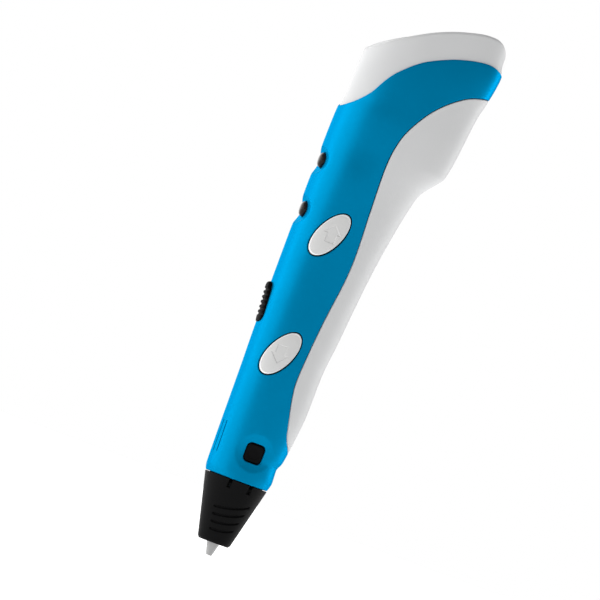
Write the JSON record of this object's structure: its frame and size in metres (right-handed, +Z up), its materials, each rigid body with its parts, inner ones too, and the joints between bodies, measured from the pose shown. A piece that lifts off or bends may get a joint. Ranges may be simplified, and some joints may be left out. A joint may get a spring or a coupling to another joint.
{
  "type": "3d printing pen",
  "caption": "Hand-held 3-D printing pen with a curved blue and white casing, oval side buttons, a front slider and a snap-in black nozzle unit with a ceramic tip.",
  "frame": {"origin": "centre of the nozzle's tip face, on the filament's axis", "axes": "+Z up the pen's axis from the tip, -X the front with the slider and lamps, +X the back with the hump, -Y the side with the two buttons"},
  "size_m": [0.0472, 0.031, 0.1842],
  "materials": {
    "blue_plastic": "satin",
    "white_plastic": "satin",
    "button_plastic": "satin",
    "black_plastic": "matte",
    "lamp_lens": "clear smoky",
    "ceramic": "unglazed ceramic",
    "circuit_board": "solder mask",
    "component_black": "moulded",
    "bare_steel": "plated",
    "gear_brass": "machined",
    "natural_nylon": "natural",
    "glass_fibre": "woven",
    "black_insulation": "smooth",
    "red_insulation": "smooth"
  },
  "bodies": {
    "casing": {"shell_right": "blue_plastic", "shell_left": "blue_plastic", "back_cover": "white_plastic", "end_cap": "white_plastic", "case_screw_1": "bare_steel", "case_screw_2": "bare_steel", "case_screw_3": "bare_steel", "led_upper": "lamp_lens", "led_lower": "lamp_lens", "main_board": "circuit_board", "speed_pot": "bare_steel", "microcontroller": "component_black", "motor_driver": "component_black", "capacitor": "bare_steel", "retract_switch": "component_black", "feed_switch": "component_black", "filament_inlet": "component_black", "upper_guide_tube": "natural_nylon", "lower_guide_tube": "natural_nylon", "feeder_block": "natural_nylon", "idler_axle": "bare_steel", "gearbox_front_plate": "gear_brass", "gearbox_rear_plate": "gear_brass", "gearbox_post_1": "gear_brass", "gearbox_post_2": "gear_brass", "motor_can": "bare_steel", "motor_end_bell": "natural_nylon", "power_jack": "component_black", "power_jack_pin": "gear_brass", "socket_block": "natural_nylon", "motor_lead_black": "black_insulation", "motor_lead_red": "red_insulation", "power_lead_black": "black_insulation", "power_lead_red": "red_insulation", "heater_lead_black": "black_insulation", "heater_lead_red": "red_insulation"},
    "feed_key": {"feed_button": "button_plastic", "feed_plunger": "component_black"},
    "retract_key": {"retract_button": "button_plastic", "retract_plunger": "component_black"},
    "speed_knob": {"speed_slider": "black_plastic"},
    "feed_drive": {"output_shaft": "bare_steel", "output_gear": "gear_brass", "drive_wheel": "gear_brass"},
    "double_gear": {"double_gear": "gear_brass"},
    "rotor": {"motor_pinion": "gear_brass"},
    "idler": {"idler_wheel": "bare_steel"},
    "nozzle_unit": {"nozzle_cover": "black_plastic", "nozzle_tip": "ceramic", "melt_tube": "bare_steel", "ceramic_heater": "ceramic", "heater_sleeve": "glass_fibre", "nozzle_frame": "black_plastic", "contact_pin_1": "gear_brass", "contact_pin_2": "gear_brass"},
    "latch_right": {"latch_right": "black_plastic"},
    "latch_left": {"latch_left": "black_plastic"}
  },
  "joints": [
    {"name": "feed_press", "type": "slide", "parent": "casing", "child": "feed_key", "axis": [0, 1, 0], "range_m": [0, 0.0005], "stiffness_N_per_m": 3000},
    {"name": "retract_press", "type": "slide", "parent": "casing", "child": "retract_key", "axis": [0, 1, 0], "range_m": [0, 0.0005], "stiffness_N_per_m": 3000},
    {"name": "speed_slide", "type": "slide", "parent": "casing", "child": "speed_knob", "axis": [0, 0, 1], "range_m": [-0.004, 0.004]},
    {"name": "wheel_spin", "type": "hinge", "parent": "casing", "child": "feed_drive", "pos_m": [0, 0.0043, 0.152], "axis": [1, 0, 0], "continuous": true},
    {"name": "double_gear_spin", "type": "hinge", "parent": "casing", "child": "double_gear", "pos_m": [0.0085, 0.0043, 0.1553], "axis": [1, 0, 0], "continuous": true},
    {"name": "rotor_spin", "type": "hinge", "parent": "casing", "child": "rotor", "pos_m": [0.011, 0.0043, 0.152], "axis": [1, 0, 0], "continuous": true},
    {"name": "idler_spin", "type": "hinge", "parent": "casing", "child": "idler", "pos_m": [0, -0.0039, 0.152], "axis": [1, 0, 0], "continuous": true},
    {"name": "nozzle_release", "type": "slide", "parent": "nozzle_unit", "child": "casing", "axis": [0, 0, 1], "range_m": [0, 0.025]},
    {"name": "latch_right_press", "type": "hinge", "parent": "nozzle_unit", "child": "latch_right", "pos_m": [0, -0.00735, 0.0225], "axis": [-1, 0, 0], "range_deg": [0, 8], "stiffness_Nm_per_rad": 0.4},
    {"name": "latch_left_press", "type": "hinge", "parent": "nozzle_unit", "child": "latch_left", "pos_m": [0, 0.00735, 0.0225], "axis": [1, 0, 0], "range_deg": [0, 8], "stiffness_Nm_per_rad": 0.4}
  ],
  "couplings": [
    {"joint": "double_gear_spin", "follows": "wheel_spin", "ratio": -2.3333},
    {"joint": "rotor_spin", "follows": "wheel_spin", "ratio": 5.4444},
    {"joint": "idler_spin", "follows": "wheel_spin", "ratio": -1.1333}
  ]
}
